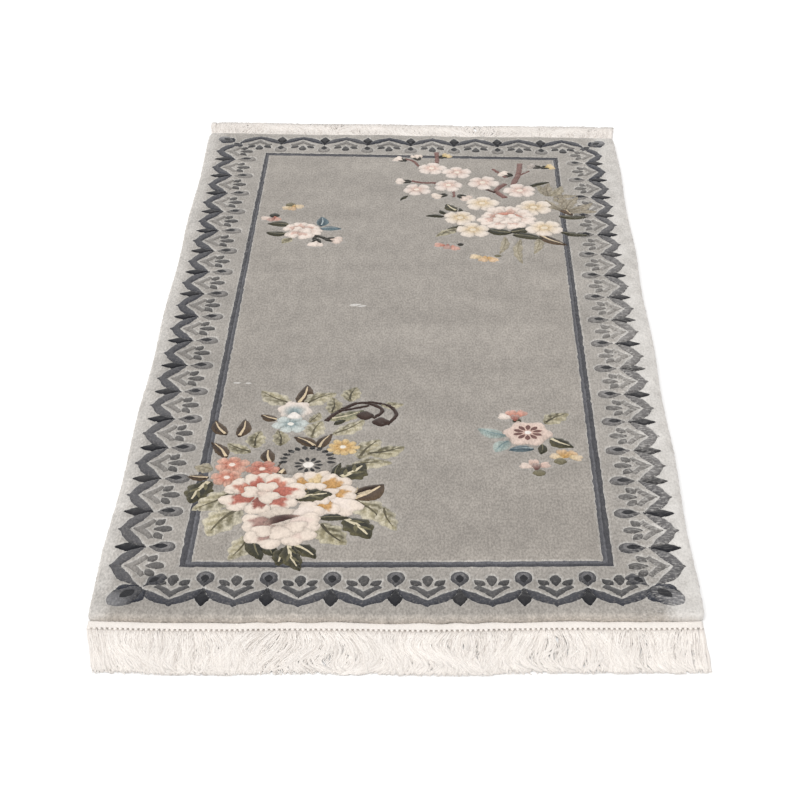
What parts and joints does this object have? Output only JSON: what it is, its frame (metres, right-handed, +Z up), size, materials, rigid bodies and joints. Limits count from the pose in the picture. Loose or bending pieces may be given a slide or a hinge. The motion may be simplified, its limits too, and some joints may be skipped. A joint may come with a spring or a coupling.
{
  "type": "silk rug",
  "caption": "Flat knotted silk rug with a carved floral pile, a chevron border around a plain field, and a knotted fringe lying loose at each end.",
  "frame": {"origin": "middle of the underside of the pile, on the floor", "axes": "+Y along the rug's length from the near end to the far end, +X across its width, +Z up out of the pile"},
  "size_m": [0.7024, 1.6267, 0.0135],
  "materials": {
    "silk_pile": "cut silk pile with a soft sheen, carved along the design",
    "fringe_yarn": "undyed cream warp yarn, loosely twisted"
  },
  "bodies": {
    "root": {"rug_pile": "silk_pile", "fringe_near": "fringe_yarn", "fringe_far": "fringe_yarn"}
  },
  "joints": []
}
